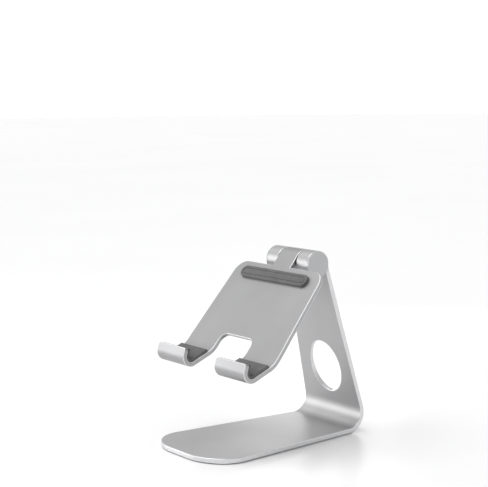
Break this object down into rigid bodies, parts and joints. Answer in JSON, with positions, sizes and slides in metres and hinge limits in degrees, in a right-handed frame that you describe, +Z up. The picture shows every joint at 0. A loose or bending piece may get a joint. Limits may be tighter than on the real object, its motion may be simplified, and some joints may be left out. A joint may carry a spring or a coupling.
{
  "type": "tablet stand",
  "caption": "Desk stand with a bent, tapering aluminium base, a cable hole and a friction-hinged cradle plate with two padded hooks.",
  "frame": {"origin": "middle of the stand's footprint, at the surface it rests on", "axes": "+X across the stand along the hinge, +Y towards the upright, -Y towards the rounded end of the foot and the tablet's side, +Z up"},
  "size_m": [0.0976, 0.136, 0.128],
  "materials": {
    "anodised_aluminium": "bead-blasted, silver anodised, with bright chamfered edges",
    "cap_aluminium": "turned and anodised",
    "fastener_steel": "zinc plated",
    "spring_steel": "oiled spring steel",
    "bushing_bronze": "sintered bronze",
    "washer_polymer": "matte friction polymer",
    "pad_rubber": "matte silicone rubber",
    "foot_rubber": "matte rubber"
  },
  "bodies": {
    "base": {"base_frame": "anodised_aluminium", "hinge_bolt": "fastener_steel", "lock_nut": "fastener_steel", "disc_springs": "spring_steel", "bolt_washer": "fastener_steel", "friction_washer_left": "washer_polymer", "friction_washer_right": "washer_polymer", "end_cap_left": "cap_aluminium", "end_cap_right": "cap_aluminium", "foot_pad_front_left": "foot_rubber", "foot_pad_front_right": "foot_rubber", "foot_pad_rear_left": "foot_rubber", "foot_pad_rear_right": "foot_rubber"},
    "cradle": {"cradle_plate": "anodised_aluminium", "back_pad": "pad_rubber", "hook_pad_left": "pad_rubber", "hook_pad_right": "pad_rubber", "hinge_bushing_left": "bushing_bronze", "hinge_bushing_right": "bushing_bronze", "stop_pin": "spring_steel"}
  },
  "joints": [
    {"name": "cradle_tilt", "type": "hinge", "parent": "base", "child": "cradle", "pos_m": [0, 0.03292, 0.1187], "axis": [-1, 0, 0], "range_deg": [-54.5, 129.8]}
  ]
}
